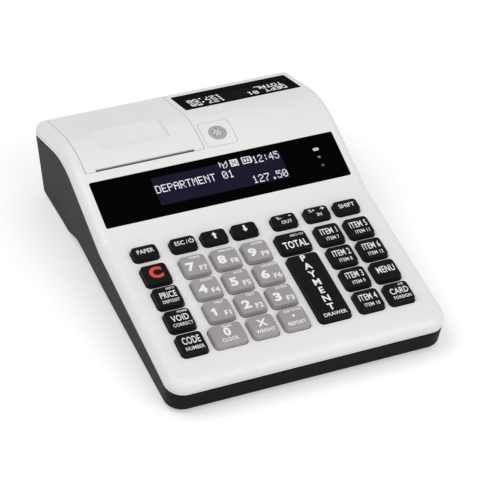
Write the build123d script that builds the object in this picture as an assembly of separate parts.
from build123d import *
import math
import os

os.makedirs("parts", exist_ok=True)

# A portable ticket register: a sloping keypad, a screen for the cashier, a second screen
# for the customer, and a printer for paper rolls under a hinged cover.
# Millimetres. +X is the cashier's right, +Y points to the back, +Z is up, and the
# register stands on Z = 0 with the origin under the middle of its box.
# Places on the keypad deck are (x, s, n): s runs up the slope from the front key row,
# and n is the height above the deck.

# ---------------------------------------------------------------- case
case_width = 160.4
deck_tilt = 8.0
deck_height = 24.7            # of the deck at s = 0
front_s = -17.9               # where the front face meets the deck
front_draft = 6.6             # lean of the front face from the deck's normal
crease_s = 88.4               # where the deck turns up into the screen slope
crease_radius = 14.0
screen_rise = 12.46           # turn of the screen slope from the deck
ridge_s = 152.9               # where the two slopes would meet
ridge_radius = 56.0
rear_fall = 24.2              # fall of the rear slope from the deck
rear_s = 199.0                # where the rear face meets the rear slope
rear_lean = 10.0
wall = 2.4
skirt = 7.8                   # depth of the light top casing below its surface
edge_radius = 5.4             # of the front and side rims
front_corner_radius = 10.0
rear_corner_radius = 2.0      # all round the rear face
inner_corner_radius = 0.6     # of the rear corners inside the walls
lip_height = 1.1              # of the lip under the groove round the casing
lip_groove = (0.45, 0.35)     # height and depth

# ---------------------------------------------------------------- base
seam_gap = 0.7                # shadow gap between the casing and the base
tongue_inset = 1.4
tongue_height = 2.0
tongue_gap = 0.15
side_draft = 3.4
base_front_lean = 7.5         # of the base's front face from upright
floor_thickness = 2.4
front_clear = 2.0             # of the front edge above the table
underside_clear = 1.2         # of the rear tub above the table
arch_height = 7.2             # of the hollow under the middle
arch_start_y = 120.0
arch_end_y = 132.0
tub_y = 148.0                 # where the deeper rear tub starts
bottom_edge_radius = 2.0

# ---------------------------------------------------------------- keys
keypad_margin = 12.87         # from the case's side to the first column of keys
digit_gap = 4.2               # more than a pitch, before the digits
tall_gap = 2.0                # more than a pitch, before the tall key's column
item_gap = 4.8                # after the tall key's column
column_space = 3.04           # between two keys of a row
wide_key_extra = 3.74
row_pitch = 17.1
key_depth = 14.6
small_key_depth = 9.8
small_row_s = 70.5
key_height = 3.0              # of a key above the deck
key_taper = 8.0
key_corner_radius = 2.6
key_edge_radius = 0.7
front_row_edge_radius = 2.6
key_gap = 0.35                # round a key in its hole
key_travel = 1.5
flange_width = 0.9
flange_thickness = 1.0
flange_gap = 0.2              # between the flange and the casing above it
stem_radius = 2.0
stem_clear = 0.2              # left over the mat's pad at full travel
mat_depth = 7.0               # of the mat's top face below the deck
mat_thickness = 1.2
pad_radius = 2.6
pad_height = 0.4

# ---------------------------------------------------------------- windows
window_thickness = 1.2
window_gap = 0.1
window_rim = 3.0
window_corner_radius = 1.0
window_margin = 6.75          # from the case's side to a window
screen_window_start = 9.9     # from the crease, up the screen slope
screen_window_depth = 30.5
customer_window_depth = 25.4
customer_window_end = 6.2     # from the rear edge, up the rear slope
customer_window_gap = 3.65    # from the printer's cover
display_board_thickness = 1.6
display_gap = 0.2
screen_board_margins = (25.45, 7.45)
screen_board_depth = 29.2
screen_glass_margin = 31.45
screen_glass_depth = 21.6
customer_board_margin = 1.15
customer_board_depth = 23.0
customer_glass_margin = 5.15
customer_glass_depth = 15.0
light_margin = 13.55          # from the window's right edge to the lights
light_places = (21.1, 15.6, 10.0)
light_sizes = ((3.4, 1.9), (1.6, 1.6), (1.6, 1.6))
light_corner = 0.4
light_gap = 0.05

# ---------------------------------------------------------------- paper printer
cover_margin = 7.4            # from the case's side to the cover
cover_side = 6.65             # of the cover beside the paper
cover_s = 133.8
cover_gap = 0.35
swing_gap = 0.4               # round the cover's rear edge as it swings
slot_side_gap = 0.9           # beside the paper in the slot
slot_depth = 1.3
scoop_width = 40.0
scoop_s = (148.1, 168.0)
scoop_depth = 1.6
paper_width = 57.0
paper_radius = 17.0           # of a full roll
paper_core_radius = 6.5
bucket_gap = 0.3
bucket_wall = 1.5
bucket_rise = 8.0             # of the bucket's rim above the roll's centre
roll_y = 166.5
platen_y = 139.6
platen_z = 45.0
platen_radius = 4.5
platen_overhang = 0.5         # of the roller past the paper
shaft_radius = 1.5
running_gap = 0.06
gear_module = 0.5
platen_teeth = 25
pinion_teeth = 12
gear_width = 2.2
gear_backlash = 0.1
head_gap = 0.3
head_thickness = 2.2
head_height = 14.0
head_inset = 1.0              # of the print head's end from the paper's edge
blade_thickness = 0.6
blade_height = 12.0
blade_drop = 0.3              # of the blade's tips below the cover's surface
tooth_pitch = 1.4
tooth_height = 0.9
cheek_thickness = 2.0
cheek_front_length = 6.0      # of the cheeks ahead of the print head
cheek_front_z = (26.0, 44.5)
cheek_shoulder = (150.0, 46.5)
cheek_foot = (150.0, 14.0)    # front and height of the right cheek's leg
shelf_thickness = 3.0
saddle = (6.0, 14.0, 8.0)     # width, depth and inset of a block under the roll's bucket
bar = (4.0, 9.0)              # depth and height of the cross bar behind the print head
motor_radius = 9.5
motor_length = 15.0
motor_shaft_radius = 1.0
motor_shaft_grip = 3.0        # of the shaft inside the can
motor_ear = (8.0, 1.0)        # width and thickness of its flange
shaft_window_radius = 3.4

# ---------------------------------------------------------------- seal, feet and screws
seal_size = 18.3
seal_space = 2.45             # between the cover and the seal's plate
seal_s = 143.6
seal_thickness = 1.4
seal_radius = 5.2
seal_cup_depth = 0.9
seal_corner = 2.0
seal_gap = 0.1
seal_ring = 1.1
seal_centre_radius = 2.6
seal_recess_gap = 0.25
seal_ring_height = 0.15       # above the casing's surface
seal_moat_depth = 0.35
seal_dome_depth = 0.05
seal_reach = 6.0              # by which its cuts go past the casing's surface
foot_radius = 6.0
foot_sink = 1.0               # of a foot into the base
foot_gap = 0.1
screw_radius = 1.25
screw_gap = 0.05
screw_head_radius = 2.8
screw_head_height = 2.0
boss_radius = 3.2
board_thickness = 1.6

half_width = case_width / 2
cover_left = cover_margin - half_width
cover_right = cover_left + paper_width + 2 * cover_side
seal_x = cover_right + seal_space + seal_size / 2
screen_window = (case_width - 2 * window_margin, screen_window_depth)
customer_left = cover_right + customer_window_gap
customer_window = (half_width - window_margin - customer_left, customer_window_depth)
customer_x = customer_left + customer_window[0] / 2
seam_drop = skirt + seam_gap
reach = 25.0                  # by which a cut goes past the case
screen_tilt = deck_tilt + screen_rise
rear_tilt = deck_tilt - rear_fall


# ---------------------------------------------------------------- lines of the side view
def deck_point(s, n=0.0):
    """(y, z) of a place on the deck's slope."""
    a = math.radians(deck_tilt)
    y = s * math.cos(a) - n * math.sin(a)
    z = s * math.sin(a) + n * math.cos(a) + deck_height
    return (y, z)


def line(point, angle):
    """A line in the side view, as a point and a unit direction."""
    a = math.radians(angle)
    return (point[0], point[1], math.cos(a), math.sin(a))


def lowered(a_line, distance):
    """The same line moved to the right of its direction."""
    y, z, dy, dz = a_line
    return (y + dz * distance, z - dy * distance, dy, dz)


def meet(first, second):
    """Where two lines cross."""
    y1, z1, a1, b1 = first
    y2, z2, a2, b2 = second
    t = ((y2 - y1) * b2 - (z2 - z1) * a2) / (a1 * b2 - b1 * a2)
    return (y1 + t * a1, z1 + t * b1)


ridge_n = (ridge_s - crease_s) * math.tan(math.radians(screen_rise))
rear_n = ridge_n - (rear_s - ridge_s) * math.tan(math.radians(rear_fall))
deck_line = line(deck_point(0), deck_tilt)
screen_line = line(deck_point(crease_s), screen_tilt)
rear_slope_line = line(deck_point(ridge_s, ridge_n), rear_tilt)
front_line = line(deck_point(front_s), 90 + deck_tilt + front_draft)
rear_line = line(deck_point(rear_s, rear_n), -90 - rear_lean)
seam_front = meet(front_line, lowered(deck_line, seam_drop))
base_front_line = line(seam_front, 90 + base_front_lean)


def side_plane(s, n, tilt):
    """A plane across the register, with its own x to the right and its y up a slope."""
    y, z = deck_point(s, n)
    a = math.radians(tilt)
    return Plane(origin=(0, y, z), x_dir=(1, 0, 0), z_dir=(0, -math.sin(a), math.cos(a)))


deck = side_plane(0, 0, deck_tilt)
screen_reach = screen_window_start * math.cos(math.radians(screen_rise))
screen_lift = screen_window_start * math.sin(math.radians(screen_rise))
screen = side_plane(crease_s + screen_reach, screen_lift, screen_tilt)
customer_reach = (customer_window_end + customer_window[1]) * math.cos(math.radians(rear_fall))
customer_lift = (customer_window_end + customer_window[1]) * math.sin(math.radians(rear_fall))
customer = side_plane(rear_s - customer_reach, rear_n + customer_lift, rear_tilt)
hinge_y, hinge_z = meet(lowered(rear_slope_line, edge_radius), lowered(rear_line, edge_radius))


# ---------------------------------------------------------------- forms of the case
def top_corners(drop):
    """Crease and ridge of the top surface moved inwards by drop."""
    crease = meet(lowered(deck_line, drop), lowered(screen_line, drop))
    ridge = meet(lowered(screen_line, drop), lowered(rear_slope_line, drop))
    return crease, ridge


def side_face(points, rounded):
    """A face in the side view; rounded maps some of its corners to radii."""
    radii = [rounded.get(index, 0.0) for index in range(len(points))]
    outline = FilletPolyline(*points, radius=radii, close=True)
    return Plane.YZ * make_face(outline)


def across(face, half):
    """The face carried across the register, as far to each side."""
    return extrude(face, amount=half, both=True)


def band(upper, lower, inset, half):
    """The layer between two depths below the top surface."""
    front = lowered(front_line, inset)
    rear = lowered(rear_line, inset)
    crease_up, ridge_up = top_corners(upper)
    crease_low, ridge_low = top_corners(lower)
    points = [
        meet(front, lowered(deck_line, lower)),
        meet(front, lowered(deck_line, upper)),
        crease_up,
        ridge_up,
        meet(rear, lowered(rear_slope_line, upper)),
        meet(rear, lowered(rear_slope_line, lower)),
        ridge_low,
        crease_low,
    ]
    rounded = {
        2: crease_radius + upper,
        3: ridge_radius - upper,
        6: ridge_radius - lower,
        7: crease_radius + lower,
    }
    return across(side_face(points, rounded), half)


def upright(edge):
    """True for an edge that goes steeply up."""
    return abs((edge % 0.5).Z) > 0.8


def at_front(edge):
    """True for an edge ahead of the crease."""
    return edge.center().Y < deck_point(crease_s)[0]


def round_front(body, inset):
    """Rounds the two upright corners at the front."""
    return fillet(body.edges().filter_by(upright).filter_by(at_front), front_corner_radius - inset)


def rear_radius(inset):
    """Radius of the rear corners on a form inset from the outside."""
    return max(rear_corner_radius - inset, inner_corner_radius)


def round_corners(body, inset):
    """Rounds the four upright corners."""
    body = round_front(body, inset)
    rear = [edge for edge in body.edges().filter_by(upright) if not at_front(edge)]
    return fillet(rear, rear_radius(inset))


def rim_edges(body):
    """Edges between the top surface and the front and side faces that go down from it."""
    tops = [face for face in body.faces() if face.normal_at().Z > 0.6]
    found = []
    for face in tops:
        for edge in face.edges():
            twins = [other for other in tops if any(edge.is_same(e) for e in other.edges())]
            crosses_rear = abs(edge.center().X) < 1 and not at_front(edge)
            if len(twins) == 1 and not crosses_rear:
                found.append(edge)
    return found


def casing_form(drop, lower, inset):
    """The top casing's outside, or the hollow inside it."""
    body = round_front(band(drop, lower, inset, half_width - inset), inset)
    body = fillet(rim_edges(body), edge_radius - inset)
    rear = max(body.faces(), key=lambda face: face.normal_at().Y)
    return fillet(rear.edges().sort_by(Axis.Z)[1:], rear_radius(inset))


def underside(rise):
    """Points of the underside in the side view, from the front to the back."""
    low = underside_clear + rise
    arch = arch_height + rise
    toe = (deck_point(front_s)[0], front_clear + rise)
    return [toe, (arch_start_y, arch), (arch_end_y, arch), (tub_y, low), (rear_s, low)]


def base_form(inset, drop, rise):
    """The base's outside, or the hollow inside it, with drafted sides."""
    front = lowered(base_front_line, inset)
    rear = lowered(rear_line, inset)
    under = underside(rise)
    slope = math.degrees(math.atan2(under[1][1] - under[0][1], under[1][0] - under[0][0]))
    crease, ridge = top_corners(drop)
    points = [
        meet(front, line(under[0], slope)),
        meet(front, lowered(deck_line, drop)),
        crease,
        ridge,
        meet(rear, lowered(rear_slope_line, drop)),
        meet(rear, line(under[4], 0)),
        under[3],
        under[2],
        under[1],
    ]
    rounded = {2: crease_radius + drop, 3: ridge_radius - drop, 6: 6.0, 7: 6.0, 8: 6.0}
    half = half_width - inset
    body = across(side_face(points, rounded), half)
    for side in (-1, 1):
        body = body - draft_wedge(side, half)
    body = round_corners(body, inset)
    return body


def draft_wedge(side, half):
    """What the side draft takes off below the seam."""
    crease, ridge = top_corners(seam_drop)
    ahead = meet(line((front_s - reach, 0), 90), lowered(deck_line, seam_drop))
    beyond = meet(line((rear_s + reach, 0), 90), lowered(rear_slope_line, seam_drop))
    points = [(ahead[0], -reach), ahead, crease, ridge, beyond, (beyond[0], -reach)]
    face = side_face(points, {2: crease_radius + seam_drop, 3: ridge_radius - seam_drop})
    fall = 3 * reach
    lean = fall * math.tan(math.radians(side_draft))
    down = Vector(-side * lean, 0, -fall)
    return extrude(face.moved(Location((side * half, 0, 0))), amount=down.length, dir=down.normalized())


# ---------------------------------------------------------------- simple shapes
def prism(plane, width, depth, corner, low, high, x=0.0, v=0.0):
    """A rounded block on a plane, from one height above it to another."""
    outline = RectangleRounded(width, depth, corner)
    return extrude(plane * Pos(x, v, low) * outline, amount=high - low)


def post(plane, x, v, radius, low, high):
    """A round post on a plane."""
    return extrude(plane * Pos(x, v, low) * Circle(radius), amount=high - low)


def rod(y, z, radius, left, right):
    """A round bar across the register."""
    end = Plane(origin=(left, y, z), x_dir=(0, 1, 0), z_dir=(1, 0, 0))
    return extrude(end * Circle(radius), amount=right - left)


def block(left, right, front, back, low, high):
    """A square block between six planes."""
    size = (right - left, back - front, high - low)
    return Pos((left + right) / 2, (front + back) / 2, (low + high) / 2) * Box(*size)


def plate_across(points, left, right):
    """A flat plate with its outline in the side view, from left to right."""
    face = side_face(points, {})
    return extrude(face.moved(Location((left, 0, 0))), amount=right - left)


def limits(depth):
    """All that lies deeper than depth inside the case's outside, down past the table."""
    front = lowered(front_line, depth)
    rear = lowered(rear_line, depth)
    table = line((0, -reach), 0)
    crease, ridge = top_corners(depth)
    points = [
        meet(front, table),
        meet(front, lowered(deck_line, depth)),
        crease,
        ridge,
        meet(rear, lowered(rear_slope_line, depth)),
        meet(rear, table),
    ]
    rounded = {2: crease_radius + depth, 3: ridge_radius - depth}
    return across(side_face(points, rounded), half_width - depth)


ground = Plane.XY
inside = limits(1.0)

# ---------------------------------------------------------------- places that pieces share
floor_z = underside_clear + floor_thickness
ridge_axis_y, ridge_axis_z = meet(
    lowered(screen_line, ridge_radius), lowered(rear_slope_line, ridge_radius)
)
bay_front_y = deck_point(cover_s, (cover_s - crease_s) * math.tan(math.radians(screen_rise)))[0]
bay_left = cover_left - cover_gap
bay_right = cover_right + cover_gap
paper_x = (cover_left + cover_right) / 2
behind = rear_s + reach
above = deck_height + ridge_radius + reach
head_back_y = platen_y - platen_radius - head_gap
head_front_y = head_back_y - head_thickness
head_low = platen_z - head_height * 0.75
gear_distance = gear_module * (platen_teeth + pinion_teeth) / 2 + gear_backlash
pinion_z = platen_z - gear_distance
roll_z = floor_z + bucket_wall + bucket_gap + paper_radius


def ridge_surface(y):
    """Height and slope of the top surface where it goes over the ridge."""
    sine = (y - ridge_axis_y) / ridge_radius
    z = ridge_axis_z + ridge_radius * math.sqrt(1 - sine * sine)
    return z, -math.degrees(math.asin(sine))


# ---------------------------------------------------------------- keys
# Each column takes its place from the one to its left, and their pitch fills the case's width.
keypad_extras = digit_gap + tall_gap + item_gap + wide_key_extra - 2 * column_space
column_pitch = (case_width - 2 * keypad_margin - keypad_extras) / 7
key_width = column_pitch - column_space
wide_key_width = key_width + wide_key_extra
left_column_x = keypad_margin - half_width
digit_column_x = left_column_x + column_pitch + digit_gap
digit_lefts = [digit_column_x + column_pitch * index for index in range(3)]
tall_left = digit_lefts[2] + column_pitch + tall_gap
cash_column_right_x = tall_left + wide_key_width
item_column_x = cash_column_right_x + item_gap
last_column_x = item_column_x + column_pitch
small_left = cash_column_right_x - key_width
zero_left = digit_column_x + key_width - wide_key_width
# Each key is (name, left edge, front edge, width, depth).
front_row, third_row, second_row, first_row = [row_pitch * index for index in range(4)]
tall_depth = second_row + key_depth


def full_key(name, left, start):
    """A key of the common size."""
    return (name, left, start, key_width, key_depth)


def small_key(name, left):
    """A key of the top row."""
    return (name, left, small_row_s, key_width, small_key_depth)


keys = [
    small_key("key_paper_feed", left_column_x),
    small_key("key_exit", digit_lefts[0]),
    small_key("key_up", digit_lefts[1]),
    small_key("key_down", digit_lefts[2]),
    small_key("key_discount", small_left),
    small_key("key_surcharge", item_column_x),
    small_key("key_alternate", last_column_x),
    full_key("key_clear", left_column_x, first_row),
    full_key("key_7", digit_lefts[0], first_row),
    full_key("key_8", digit_lefts[1], first_row),
    full_key("key_9", digit_lefts[2], first_row),
    ("key_total", tall_left, first_row, wide_key_width, key_depth),
    full_key("key_item_1", item_column_x, first_row),
    full_key("key_item_5", last_column_x, first_row),
    full_key("key_price", left_column_x, second_row),
    full_key("key_4", digit_lefts[0], second_row),
    full_key("key_5", digit_lefts[1], second_row),
    full_key("key_6", digit_lefts[2], second_row),
    full_key("key_item_2", item_column_x, second_row),
    full_key("key_item_6", last_column_x, second_row),
    full_key("key_void", left_column_x, third_row),
    full_key("key_1", digit_lefts[0], third_row),
    full_key("key_2", digit_lefts[1], third_row),
    full_key("key_3", digit_lefts[2], third_row),
    full_key("key_item_3", item_column_x, third_row),
    full_key("key_mode", last_column_x, third_row),
    full_key("key_code", left_column_x, front_row),
    ("key_0", zero_left, front_row, wide_key_width, key_depth),
    full_key("key_multiply", digit_lefts[1], front_row),
    full_key("key_point", digit_lefts[2], front_row),
    ("key_cash", tall_left, front_row, wide_key_width, tall_depth),
    full_key("key_item_4", item_column_x, front_row),
    full_key("key_card", last_column_x, front_row),
]


def key_middle(spec):
    """Middle of a key on the deck."""
    name, left, start, width, depth = spec
    return left + width / 2, start + depth / 2


def rolled_front(spec):
    """The side view of a front key, whose top rolls down into its front face."""
    name, left, start, width, depth = spec
    lean = math.tan(math.radians(key_taper))
    points = [
        (start - lean, -1.0),
        (start + key_height * lean, key_height),
        (start + depth + 1.0, key_height),
        (start + depth + 1.0, -1.0),
    ]
    outline = FilletPolyline(*points, radius=[0, front_row_edge_radius, 0, 0], close=True)
    side = Plane(origin=deck.origin, x_dir=deck.y_dir, z_dir=(1, 0, 0))
    return extrude(side * make_face(outline), amount=case_width, both=True)


def key_solid(spec):
    """A key: a tapered cap, its neck in the casing, a flange that holds it in, and a stem."""
    name, left, start, width, depth = spec
    x, s = key_middle(spec)
    corner = key_corner_radius
    cap = extrude(deck * Pos(x, s) * RectangleRounded(width, depth, corner), key_height, taper=key_taper)
    top = max(cap.faces(), key=lambda face: face.center().dot(deck.z_dir))
    cap = fillet(top.edges(), key_edge_radius)
    if start == front_row:
        cap = cap & rolled_front(spec)
    flange_top = -wall - flange_gap
    flange_low = flange_top - flange_thickness
    neck = prism(deck, width, depth, corner, flange_top, 0, x, s)
    wide = width + 2 * flange_width
    deep = depth + 2 * flange_width
    flange = prism(deck, wide, deep, corner + flange_width, flange_low, flange_top, x, s)
    stem_low = pad_height - mat_depth + stem_clear + key_travel
    stem = post(deck, x, s, stem_radius, stem_low, flange_low)
    return cap + neck + flange + stem


def key_hole(spec):
    """The hole round a key in the casing."""
    name, left, start, width, depth = spec
    x, s = key_middle(spec)
    corner = key_corner_radius + key_gap
    return prism(deck, width + 2 * key_gap, depth + 2 * key_gap, corner, -wall - 1, 1, x, s)


# ---------------------------------------------------------------- key board and screws
mat_low = -mat_depth - mat_thickness
board_low = mat_low - board_thickness
keypad_middle_s = 40.5
keypad_depth = 91.0
keypad_side_gap = 1.8
keypad_corner = 3.0
keypad_width = case_width - 2 * (wall + keypad_side_gap)
side_screw_inset = 7.2
side_screw_x = half_width - side_screw_inset
side_screw_gap = 0.9          # of the side screws' bosses behind the key board
keypad_back_y = deck_point(keypad_middle_s + keypad_depth / 2, board_low)[0]
side_screw_y = keypad_back_y + boss_radius + side_screw_gap
corner_screw_inset = 10.7
corner_screw_x = half_width - corner_screw_inset
front_screw_y = -8.0
rear_screw_y = 157.0
screw_meets = (10.0, 16.0, 24.0)
# Case screws are (x, y, height where the base's boss meets the casing's).
case_screws = [
    (-corner_screw_x, front_screw_y, screw_meets[0]),
    (corner_screw_x, front_screw_y, screw_meets[0]),
    (-side_screw_x, side_screw_y, screw_meets[1]),
    (side_screw_x, side_screw_y, screw_meets[1]),
    (corner_screw_x, rear_screw_y, screw_meets[2]),
]
base_boss_radius = 4.4
counterbore_radius = screw_head_radius + 0.3
counterbore_depth = 3.6
screw_grip = 8.0
screw_slot = (3.4, 0.8, 0.7)  # length, width and depth
board_screw_middle_s = 50.0
board_screw_pitch = 30.0
board_screw_rows = [board_screw_middle_s + step * board_screw_pitch for step in (-1, 0, 1)]
board_screws = [(side * side_screw_x, s) for side in (-1, 1) for s in board_screw_rows]
board_boss_radius = 2.5
board_boss_gap = 0.3
board_screw_radius = 0.95
board_screw_head = (2.2, 1.3)


def underside_z(y):
    """Height of the base's underside."""
    points = underside(0)
    for (y1, z1), (y2, z2) in zip(points, points[1:]):
        if y1 <= y <= y2:
            return z1 + (z2 - z1) * (y - y1) / (y2 - y1)


def casing_boss(x, y, meet_z):
    """A boss that hangs from the casing to a base screw."""
    return post(ground, x, y, boss_radius, meet_z, above) & inside


def screw(x, y, meet_z):
    """A case screw, its head up in the base."""
    seat_z = underside_z(y) + counterbore_depth
    head_z = seat_z - screw_head_height
    length, width, depth = screw_slot
    head = post(ground, x, y, screw_head_radius, head_z, seat_z)
    head -= prism(ground, length, width, width / 3, 0, head_z + depth, x, y)
    return head + post(ground, x, y, screw_radius, seat_z, meet_z + screw_grip)


def board_screw(x, s):
    """A small screw that holds the key board to the casing."""
    head_radius, head_height = board_screw_head
    shank = post(deck, x, s, board_screw_radius, board_low, -wall - 1.5)
    return post(deck, x, s, head_radius, board_low - head_height, board_low) + shank


# ---------------------------------------------------------------- screens
screen_hole = (screen_window[0] - 2 * window_rim, screen_window[1] - 2 * window_rim)
customer_hole = (customer_window[0] - 2 * window_rim, customer_window[1] - 2 * window_rim)
screen_board_width = screen_window[0] - sum(screen_board_margins)
screen_board_x = (screen_board_margins[0] - screen_board_margins[1]) / 2
screen_board = (screen_board_width, screen_board_depth)
screen_glass = (screen_window[0] - 2 * screen_glass_margin, screen_glass_depth)
customer_board = (customer_window[0] - 2 * customer_board_margin, customer_board_depth)
customer_glass = (customer_window[0] - 2 * customer_glass_margin, customer_glass_depth)
light_x = screen_window[0] / 2 - light_margin
lights = [(light_x, v, size) for v, size in zip(light_places, light_sizes)]


def window_recess(plane, size, hole, x):
    """The recess for a window, with its hole through the casing."""
    width, depth = size
    corner = window_corner_radius + window_gap
    wide = width + 2 * window_gap
    deep = depth + 2 * window_gap
    low = -window_thickness
    recess = prism(plane, wide, deep, corner, low, 1, x, depth / 2)
    return recess + prism(plane, hole[0], hole[1], 2, -wall - 1, low, x, depth / 2)


def window_plate(plane, size, x):
    """A flush window."""
    return prism(plane, size[0], size[1], window_corner_radius, -window_thickness, 0, x, size[1] / 2)


def display(plane, size, board, board_x, glass, glass_x):
    """A display: a circuit board under the casing and a glass panel behind the window."""
    v = size[1] / 2
    low = -wall - display_board_thickness
    base = prism(plane, board[0], board[1], 1, low, -wall, board_x, v)
    glass_top = -window_thickness - display_gap
    return base + prism(plane, glass[0], glass[1], 0.5, -wall, glass_top, glass_x, v)


# ---------------------------------------------------------------- gears
def gear(teeth, y, z, left, first_angle):
    """A spur gear with involute teeth; first_angle points to a tooth's middle."""
    pitch = gear_module * teeth / 2
    base = pitch * math.cos(math.radians(20))
    tip = pitch + 0.85 * gear_module
    root = pitch - 1.2 * gear_module
    curve_at_pitch = math.tan(math.radians(20)) - math.radians(20)
    half_tooth = (math.pi * gear_module / 2 - gear_backlash) / (2 * pitch)
    points = []
    for index in range(teeth):
        middle = math.radians(first_angle) + 2 * math.pi * index / teeth
        flank = []
        for share in (0.0, 0.4, 0.7, 1.0):
            radius = root + (tip - root) * share
            pressure = math.acos(min(1.0, base / radius))
            half = half_tooth + curve_at_pitch - (math.tan(pressure) - pressure)
            flank.append((radius, half))
        for radius, half in flank:
            points.append((y + radius * math.cos(middle - half), z + radius * math.sin(middle - half)))
        for radius, half in reversed(flank):
            points.append((y + radius * math.cos(middle + half), z + radius * math.sin(middle + half)))
    face = Plane.YZ * make_face(Polyline(*points, close=True))
    return extrude(face.moved(Location((left, 0, 0))), amount=gear_width)


# ---------------------------------------------------------------- printer
platen_left = paper_x - paper_width / 2 - platen_overhang
platen_right = paper_x + paper_width / 2 + platen_overhang
slot_half = paper_width / 2 + slot_side_gap
arm_gap = 0.4
arm_thickness = 2.4
arm_radius = 4.2
left_arm = platen_left - arm_gap - arm_thickness
right_arm = platen_right + arm_gap
gear_left = right_arm + arm_thickness + arm_gap
shaft_end = 0.4               # of the shaft past its left arm and past the gear
shaft_left = left_arm - shaft_end
shaft_right = gear_left + gear_width + shaft_end
left_cheek = bay_left - cheek_thickness
right_cheek = bay_right
right_end = right_cheek + cheek_thickness
eye_radius = 2.6


def cover_solid(skin):
    """The printer's cover: a piece of the case's skin with a hinge barrel and roller arms."""
    cover = skin & block(cover_left, cover_right, bay_front_y + cover_gap, behind, hinge_z, above)
    cover += rod(hinge_y, hinge_z, edge_radius, cover_left, cover_right)
    for left in (left_arm, right_arm):
        right = left + arm_thickness
        arm = rod(platen_y, platen_z, arm_radius, left, right)
        arm += block(left, right, platen_y - arm_radius, platen_y + arm_radius, platen_z, above)
        cover += arm & inside
    slot_back = bay_front_y + cover_gap + slot_depth
    cover -= block(paper_x - slot_half, paper_x + slot_half, 0, slot_back, hinge_z, above)
    cover -= scoop()
    cover -= rod(hinge_y, hinge_z, shaft_radius + running_gap, cover_left - 1, cover_right + 1)
    cover -= rod(platen_y, platen_z, shaft_radius + running_gap, cover_left - 1, cover_right + 1)
    return cover


def scoop():
    """The finger grip: a flat-floored hollow, deepest at its front."""
    start, end = [deck_point(s, ridge_n)[0] for s in scoop_s]
    start_z = ridge_surface(start)[0] - scoop_depth
    end_z = ridge_surface(end)[0]
    points = [(start, start_z), (end, end_z), (end, above), (start, above)]
    return plate_across(points, paper_x - scoop_width / 2, paper_x + scoop_width / 2)


def swing_radius():
    """How far the cover's rear edge reaches from its hinge."""
    corner_y, corner_z = meet(
        lowered(rear_slope_line, rear_corner_radius), lowered(rear_line, rear_corner_radius)
    )
    return math.hypot(corner_y - hinge_y, corner_z - hinge_z) + rear_corner_radius


def tear_blade():
    """The toothed steel blade in the paper slot."""
    tip_z = ridge_surface(head_front_y)[0] - blade_drop
    half = slot_half - cover_gap
    count = round(2 * half / tooth_pitch)
    pitch = 2 * half / count
    points = [(paper_x + half, tip_z - blade_height), (paper_x - half, tip_z - blade_height)]
    for index in range(count):
        left = paper_x - half + pitch * index
        points.append((left, tip_z - tooth_height))
        points.append((left + pitch / 2, tip_z))
    points.append((paper_x + half, tip_z - tooth_height))
    face = Plane.XZ * make_face(Polyline(*points, close=True))
    return extrude(face.moved(Location((0, head_front_y, 0))), amount=blade_thickness)


def roll_bucket():
    """The bucket that the roll lies in, with a shelf round its rim and blocks under it."""
    inner = paper_radius + bucket_gap
    outer = inner + bucket_wall
    rim_z = roll_z + bucket_rise
    front, back = roll_y - outer, roll_y + outer
    left = paper_x - paper_width / 2 - bucket_gap
    right = paper_x + paper_width / 2 + bucket_gap
    bucket = rod(roll_y, roll_z, outer, left - bucket_wall, right + bucket_wall)
    bucket += block(left - bucket_wall, right + bucket_wall, front, back, roll_z, rim_z)
    bucket -= block(left_cheek, right_cheek, 0, behind, rim_z, above)
    bucket += block(left_cheek, right_cheek, front, back, rim_z - shelf_thickness, rim_z)
    width, depth, inset = saddle
    for x in (left + inset, right - inset):
        sides = (x - width / 2, x + width / 2, roll_y - depth / 2, roll_y + depth / 2)
        bucket += block(*sides, floor_z, roll_z - inner)
    bucket -= rod(roll_y, roll_z, inner, left, right)
    return bucket - block(left, right, roll_y - inner, roll_y + inner, roll_z, above)


def printer_frame():
    """The printer's frame: two cheeks, a cross bar for the head and a bucket for the roll."""
    back = roll_y + paper_radius + bucket_gap + bucket_wall
    shelf_z = roll_z + bucket_rise - shelf_thickness
    front = head_front_y - cheek_front_length
    low, high = cheek_front_z
    leg_y, leg_z = cheek_foot
    upper = [(front, high), cheek_shoulder, (hinge_y, hinge_z + eye_radius)]
    lower = [(hinge_y, hinge_z - eye_radius), (back, shelf_z)]
    left_low = [(2 * roll_y - back, shelf_z), (front, low)]
    right_low = [(back, floor_z), (leg_y, floor_z), (leg_y, leg_z), (front, low)]
    frame = roll_bucket()
    for start, under in ((left_cheek, left_low), (right_cheek, right_low)):
        frame += plate_across(upper + lower + under, start, start + cheek_thickness)
        frame += rod(hinge_y, hinge_z, eye_radius, start, start + cheek_thickness)
    bar_depth, bar_height = bar
    bar_back = head_front_y - blade_thickness
    sides = (bay_left, bay_right, bar_back - bar_depth, bar_back)
    frame += block(*sides, head_low, head_low + bar_height)
    frame -= rod(hinge_y, hinge_z, shaft_radius + screw_gap, left_cheek - 1, right_end + 1)
    return frame - rod(platen_y, pinion_z, shaft_window_radius, right_cheek - 1, right_end + 1)


def print_head():
    """The thermal print head: a thin plate on edge in front of the roller."""
    half = paper_width / 2 - head_inset
    sides = (paper_x - half, paper_x + half, head_front_y, head_back_y)
    return block(*sides, head_low, head_low + head_height)


def pinion_solid():
    """The motor's pinion on its shaft."""
    tooth_up = 90.0 + 180.0 / pinion_teeth
    pinion = gear(pinion_teeth, platen_y, pinion_z, gear_left, tooth_up)
    return pinion + rod(platen_y, pinion_z, motor_shaft_radius, gear_left, right_end + motor_shaft_grip)


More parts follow.
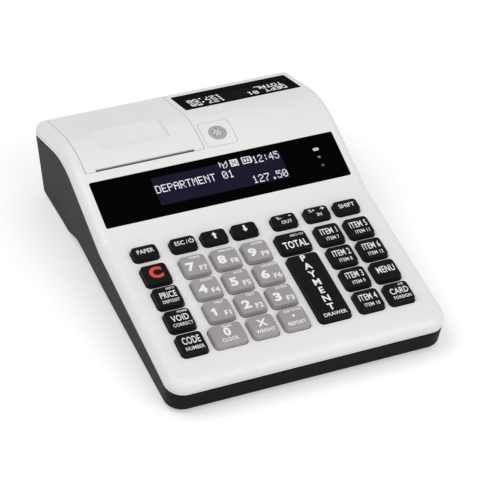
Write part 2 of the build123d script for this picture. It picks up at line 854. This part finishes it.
def motor_solid():
    """The feed motor: a can on a flange plate, with a hole for its shaft."""
    width, thickness = motor_ear
    motor = rod(platen_y, pinion_z, motor_radius, right_end, right_end + motor_length)
    motor = fillet(motor.edges().filter_by(GeomType.CIRCLE).sort_by(Axis.X)[-1], 1.0)
    end = Plane(origin=(right_end, platen_y, pinion_z), x_dir=(0, 1, 0), z_dir=(1, 0, 0))
    ears = RectangleRounded(2 * (motor_radius + width / 2), width, width / 2 - 0.1)
    motor += extrude(end * ears, amount=thickness)
    bore_radius = motor_shaft_radius + running_gap
    return motor - rod(platen_y, pinion_z, bore_radius, right_end - 1, right_end + motor_shaft_grip + 1)


def paper_solid():
    """The paper roll."""
    half = paper_width / 2
    roll = rod(roll_y, roll_z, paper_radius, paper_x - half, paper_x + half)
    return roll - rod(roll_y, roll_z, paper_core_radius, paper_x - half - 1, paper_x + half + 1)


def platen_rubber():
    """The roller's rubber sleeve."""
    sleeve = rod(platen_y, platen_z, platen_radius, platen_left, platen_right)
    return sleeve - rod(platen_y, platen_z, shaft_radius, platen_left - 1, platen_right + 1)


def platen_gear():
    """The gear on the roller's shaft, with a tooth's middle straight down."""
    wheel = gear(platen_teeth, platen_y, platen_z, gear_left, -90.0)
    return wheel - rod(platen_y, platen_z, shaft_radius, gear_left - 1, gear_left + gear_width + 1)


# ---------------------------------------------------------------- seal on the casing
seal_y = deck_point(seal_s, ridge_n)[0]
seal_z, seal_tilt = ridge_surface(seal_y)
seal_angle = math.radians(seal_tilt)
seal_plane = Plane(
    origin=(0, seal_y, seal_z),
    x_dir=(1, 0, 0),
    z_dir=(0, -math.sin(seal_angle), math.cos(seal_angle)),
)


def seal_plate():
    """The square plate that carries the seal; its top follows the casing's surface."""
    plate = prism(seal_plane, seal_size, seal_size, seal_corner, -seal_reach, seal_reach, seal_x)
    plate = plate & limits(0)
    plate -= limits(seal_thickness)
    return plate - post(seal_plane, seal_x, 0, seal_radius + seal_gap, -seal_cup_depth, seal_reach)


def seal_plug():
    """The round seal: a raised ring round a low dome."""
    low = -seal_cup_depth
    plug = post(seal_plane, seal_x, 0, seal_radius, low, seal_ring_height)
    plug = chamfer(plug.faces().sort_by(Axis.Z)[-1].edges(), 0.25)
    plug -= post(seal_plane, seal_x, 0, seal_radius - seal_ring, -seal_moat_depth, seal_reach)
    return plug + post(seal_plane, seal_x, 0, seal_centre_radius, low, -seal_dome_depth)


# ---------------------------------------------------------------- boards and power
board_margin = 18.2           # from the case's side to the main board
main_board = (case_width - 2 * board_margin, 86.0)
main_board_y = 73.0
main_board_z = 11.5
board_posts = (main_board[0] / 2 - 10.0, 35.0)
board_post_radius = 2.6
board_corners = [
    (side * board_posts[0], main_board_y + end * board_posts[1]) for side in (-1, 1) for end in (-1, 1)
]
# Chips and plugs on the main board, as (x, y, width, depth, height).
chips = [(-8.0, 70.0, 14.0, 14.0, 1.2), (18.0, 58.0, 9.0, 12.0, 1.1), (40.0, 88.0, 18.0, 6.0, 3.4)]
socket_board_z = 12.0
socket_recess = 0.45          # of the sockets' faces from the foot of their windows
socket_face_y = meet(rear_line, line((0, socket_board_z + board_thickness), 0))[0] - socket_recess
socket_board = (50.0, 11.0)
socket_board_x = half_width - 37.2
socket_board_y = socket_face_y - 8.3
socket_posts = [(socket_board_x + side * 21.0, socket_board_y) for side in (-1, 1)]
socket_insets = (53.7, 40.7, 24.2)
power_x, data_x, drawer_x = [half_width - inset for inset in socket_insets]
# Each socket is (x, width, height, depth).
power_socket = (power_x, 9.0, 11.0, 13.0)
data_socket = (data_x, 8.0, 8.0, 13.0)
drawer_socket = (drawer_x, 15.0, 13.0, 13.0)
power_bore_radius = 3.2
power_bore_length = 10.0
power_pin_radius = 1.0
data_bore_radius = 1.8
data_bore_length = 11.0
drawer_cavity = (9.8, 6.8, 10.0)
drawer_latch = (4.0, 1.6)     # width and depth of the slot for the plug's latch
battery_left = right_end + 7.65
battery_right = half_width - 18.7
battery = (battery_right - battery_left, 24.0, 17.0)
battery_edge_radius = 3.0
door_size = (battery[0] - 4.0, 26.0)
door_middle = ((battery_left + battery_right) / 2, 164.5)
door_thickness = 1.4
door_gap = 0.2
door_corner = 2.0
door_rim = 3.0
groove = (0.8, 4.0, 12.0)     # radius of the thumb groove, and its ends from the door's edge
foot_inset = 14.2
foot_rows = (2.0, 180.0)
feet = [(side * (half_width - foot_inset), y) for side in (-1, 1) for y in foot_rows]


def socket_block(socket):
    """A socket's body on the board by the rear wall."""
    x, width, height, depth = socket
    low = socket_board_z + board_thickness
    return block(x - width / 2, x + width / 2, socket_face_y - depth, socket_face_y, low, low + height)


def socket_window(socket):
    """The hole that a socket looks out of."""
    x, width, height, depth = socket
    low = socket_board_z + board_thickness - cover_gap
    half = width / 2 + cover_gap
    return block(x - half, x + half, socket_face_y - 4.0, behind, low, low + height + 2 * cover_gap)


def socket_middle(socket):
    """Height of a socket's middle."""
    return socket_board_z + board_thickness + socket[2] / 2


def hole_in(socket, radius, length):
    """A round hole into a socket from the back."""
    middle = (socket[0], socket_face_y, socket_middle(socket))
    mouth = Plane(origin=middle, x_dir=(1, 0, 0), z_dir=(0, 1, 0))
    return extrude(mouth * Pos(0, 0, -length) * Circle(radius), amount=length + 1.0)


def power_solid():
    """The round power socket with its centre pin."""
    body = socket_block(power_socket) - hole_in(power_socket, power_bore_radius, power_bore_length)
    pin = hole_in(power_socket, power_pin_radius, power_bore_length)
    return body + (pin & socket_block(power_socket))


def data_solid():
    """The round data socket."""
    return socket_block(data_socket) - hole_in(data_socket, data_bore_radius, data_bore_length)


def drawer_solid():
    """The square socket for a cash drawer's lead, with a slot for the plug's latch."""
    x, width, height, depth = drawer_socket
    wide, high, deep = drawer_cavity
    z = socket_middle(drawer_socket)
    cavity = block(x - wide / 2, x + wide / 2, socket_face_y - deep, behind, z - high / 2, z + high / 2)
    half, drop = drawer_latch[0] / 2, drawer_latch[1]
    latch = block(x - half, x + half, socket_face_y - deep, behind, z - high / 2 - drop, z)
    return socket_block(drawer_socket) - cavity - latch


def keypad_sheet(low, high):
    """A sheet under the whole keypad."""
    return prism(deck, keypad_width, keypad_depth, keypad_corner, low, high, 0, keypad_middle_s)


def key_mat():
    """The rubber mat with a pad under each key."""
    mat = keypad_sheet(mat_low, -mat_depth)
    for x, s in board_screws:
        mat -= post(deck, x, s, board_boss_radius + board_boss_gap, mat_low - 1, 0)
    pad_top = pad_height - mat_depth
    return mat + [post(deck, *key_middle(spec), pad_radius, -mat_depth, pad_top) for spec in keys]


def key_board():
    """The board under the mat."""
    board = keypad_sheet(board_low, mat_low)
    for x, s in board_screws:
        board -= post(deck, x, s, board_screw_radius + 0.25, board_low - 1, 0)
    return board


def main_boards():
    """The main board with its chips and plugs."""
    top = main_board_z + board_thickness
    board = prism(ground, *main_board, 2.0, main_board_z, top, 0, main_board_y)
    return [board] + [prism(ground, w, d, 0.5, top, top + h, x, y) for x, y, w, d, h in chips]


def socket_board_solid():
    """The small board that carries the rear sockets."""
    top = socket_board_z + board_thickness
    return prism(ground, *socket_board, 1.0, socket_board_z, top, socket_board_x, socket_board_y)


def battery_solid():
    """The battery pack, on the rim of its door's opening."""
    width, depth, height = battery
    x, y = door_middle
    sides = (x - width / 2, x + width / 2, y - depth / 2, y + depth / 2)
    pack = block(*sides, floor_z, floor_z + height)
    return fillet(pack.edges().filter_by(Axis.X), battery_edge_radius)


def battery_door():
    """The door under the battery, flush with the underside, with a thumb groove."""
    x, y = door_middle
    top = underside_clear + door_thickness
    door = prism(ground, *door_size, door_corner, underside_clear, top, x, y)
    radius, near, far = groove
    end = x + door_size[0] / 2
    return door - rod(y, underside_clear, radius, end - far, end - near)


def foot(x, y):
    """A rubber foot in its pocket."""
    pad = post(ground, x, y, foot_radius, 0, underside_z(y) + foot_sink)
    return chamfer(pad.edges().sort_by(Axis.Z)[0], 0.5)


# ---------------------------------------------------------------- top casing and base
outer = casing_form(0, skirt, 0)
hollow = casing_form(wall, skirt + 6.0, wall)
skin = outer - hollow


def top_casing():
    """The light upper shell with its openings and bosses."""
    shell = skin
    inset = tongue_inset - tongue_gap
    rebate = band(skirt - tongue_height - tongue_gap, skirt + 1.0, inset, half_width - inset)
    shell -= round_corners(rebate, inset)
    for spec in keys:
        shell -= key_hole(spec)
    shell -= window_recess(screen, screen_window, screen_hole, 0)
    shell -= window_recess(customer, customer_window, customer_hole, customer_x)
    shell -= bay()
    wide = seal_size + 2 * seal_recess_gap
    corner = seal_corner + seal_recess_gap
    recess = prism(seal_plane, wide, wide, corner, -seal_reach, seal_reach, seal_x)
    shell -= recess - limits(seal_thickness)
    shell -= groove_ring()
    for place in case_screws:
        shell += casing_boss(*place)
    for x, s in board_screws:
        shell += post(deck, x, s, board_boss_radius, mat_low, 0) & inside
        shell -= post(deck, x, s, board_screw_radius + screw_gap, mat_low - 1, -wall - 1.0)
    for x, y, meet_z in case_screws:
        shell -= post(ground, x, y, screw_radius + screw_gap, meet_z - 1, meet_z + screw_grip + 0.5)
    return shell


def groove_ring():
    """The fine groove that sets the lip off from the rest of the casing."""
    height, depth = lip_groove
    low = skirt - lip_height
    core = band(low - height - 1.0, low + 1.0, depth, half_width - depth)
    return band(low - height, low, -1.0, half_width + 1.0) - round_corners(core, depth)


def bay():
    """The opening for the printer's cover, with room for its rear edge to swing."""
    opening = block(bay_left, bay_right, bay_front_y, behind, hinge_z, above)
    opening += rod(hinge_y, hinge_z, swing_radius() + swing_gap, bay_left, bay_right)
    return opening + block(bay_left, bay_right, hinge_y, behind, hinge_z - 3.0, above)


def low_edges(shell):
    """Edges between the underside and the faces that go up from it."""
    under = [face for face in shell.faces() if face.normal_at().Z < -0.6]
    found = []
    for face in under:
        for edge in face.edges():
            twins = [other for other in under if any(edge.is_same(e) for e in other.edges())]
            if len(twins) == 1:
                found.append(edge)
    return found


base_outside = base_form(0, seam_drop, 0)
base_outside = fillet(low_edges(base_outside), bottom_edge_radius)
base_inside = base_form(wall, seam_drop - 3.0, floor_thickness)


def base_post(x, y, radius, high):
    """A post that rises from the base's floor."""
    return post(ground, x, y, radius, 0, high) & base_outside & inside


def base_shell():
    """The dark lower shell with its tongue, posts and openings."""
    shell = base_outside - base_inside
    tongue_half = half_width - tongue_inset
    ring = round_corners(band(skirt - tongue_height, seam_drop, tongue_inset, tongue_half), tongue_inset)
    ring -= round_corners(band(skirt - 5.0, seam_drop + 1.0, wall, half_width - wall), wall)
    shell += ring
    for x, y, meet_z in case_screws:
        head_z = underside_z(y) + counterbore_depth
        shell += base_post(x, y, base_boss_radius, meet_z - screw_gap)
        shell -= post(ground, x, y, counterbore_radius, -1, head_z)
        shell -= post(ground, x, y, screw_radius + 0.25, 0, meet_z)
    for x, y in board_corners:
        shell += base_post(x, y, board_post_radius, main_board_z)
    for x, y in socket_posts:
        shell += base_post(x, y, board_post_radius, socket_board_z)
    for socket in (power_socket, data_socket, drawer_socket):
        shell -= socket_window(socket)
    for x, y in feet:
        shell -= post(ground, x, y, foot_radius + foot_gap, -1, underside_z(y) + foot_sink)
    wide, deep = door_size
    recess = (wide + 2 * door_gap, deep + 2 * door_gap, door_corner + door_gap)
    shell -= prism(ground, *recess, -1, underside_clear + door_thickness, *door_middle)
    hole = (wide - 2 * door_rim, deep - 2 * door_rim, door_corner)
    shell -= prism(ground, *hole, 0, floor_z + 1, *door_middle)
    shell -= bay()
    return shell


# ---------------------------------------------------------------- all the pieces
nodes = {
    "top_casing": top_casing(),
    "base_shell": base_shell(),
    "operator_window": window_plate(screen, screen_window, 0),
    "customer_window": window_plate(customer, customer_window, customer_x),
}
nodes["operator_display"] = display(
    screen, screen_window, screen_board, screen_board_x, screen_glass, 0
)
nodes["customer_display"] = display(
    customer, customer_window, customer_board, customer_x, customer_glass, customer_x
)
light_holes = []
light_pipes = []
for x, v, (wide, deep) in lights:
    light_pipes.append(prism(screen, wide, deep, light_corner, -wall, 0, x, v))
    hole = (wide + 2 * light_gap, deep + 2 * light_gap, light_corner + light_gap)
    light_holes.append(prism(screen, *hole, -wall, 1, x, v))
nodes["operator_window"] -= light_holes
nodes["status_lights"] = Compound(light_pipes)
nodes["paper_cover"] = cover_solid(skin)
nodes["tear_blade"] = tear_blade()
nodes["platen_rubber"] = platen_rubber()
nodes["platen_shaft"] = rod(platen_y, platen_z, shaft_radius, shaft_left, shaft_right)
nodes["platen_gear"] = platen_gear()
nodes["motor_pinion"] = pinion_solid()
nodes["feed_motor"] = motor_solid()
nodes["print_head"] = print_head()
nodes["printer_frame"] = printer_frame()
nodes["paper_roll"] = paper_solid()
nodes["cover_hinge_pin"] = rod(hinge_y, hinge_z, shaft_radius, left_cheek, right_end)
nodes["key_mat"] = key_mat()
nodes["circuit_boards"] = Compound([key_board(), *main_boards(), socket_board_solid()])
nodes["rear_sockets"] = Compound([power_solid(), data_solid(), drawer_solid()])
nodes["battery_pack"] = battery_solid()
nodes["battery_door"] = battery_door()
nodes["rubber_feet"] = Compound([foot(x, y) for x, y in feet])
screws = [screw(*place) for place in case_screws] + [board_screw(x, s) for x, s in board_screws]
nodes["casing_screws"] = Compound(screws)
nodes["seal_plate"] = seal_plate()
nodes["seal_plug"] = seal_plug()
for spec in keys:
    nodes[spec[0]] = key_solid(spec)

# The origin goes under the middle of the box that holds every piece.
whole = nodes["top_casing"].bounding_box().add(nodes["base_shell"].bounding_box())
shift = Location((0, -whole.center().Y, 0))
for name, piece in nodes.items():
    export_step(piece.moved(shift), f"parts/{name}.step")

normal = deck.z_dir
print("nodes", len(nodes))
print("moved back by", round(whole.center().Y, 4))
print("key press axis", [0.0, round(-normal.Y, 6), round(-normal.Z, 6)])
for label, y, z in (
    ("cover hinge", hinge_y, hinge_z),
    ("platen", platen_y, platen_z),
    ("pinion", platen_y, pinion_z),
    ("paper roll", roll_y, roll_z),
):
    print(label, round(y - whole.center().Y, 4), round(z, 4))
mouth_y = round(socket_face_y - whole.center().Y, 4)
print("data socket bore", data_socket[0], mouth_y, socket_middle(data_socket))
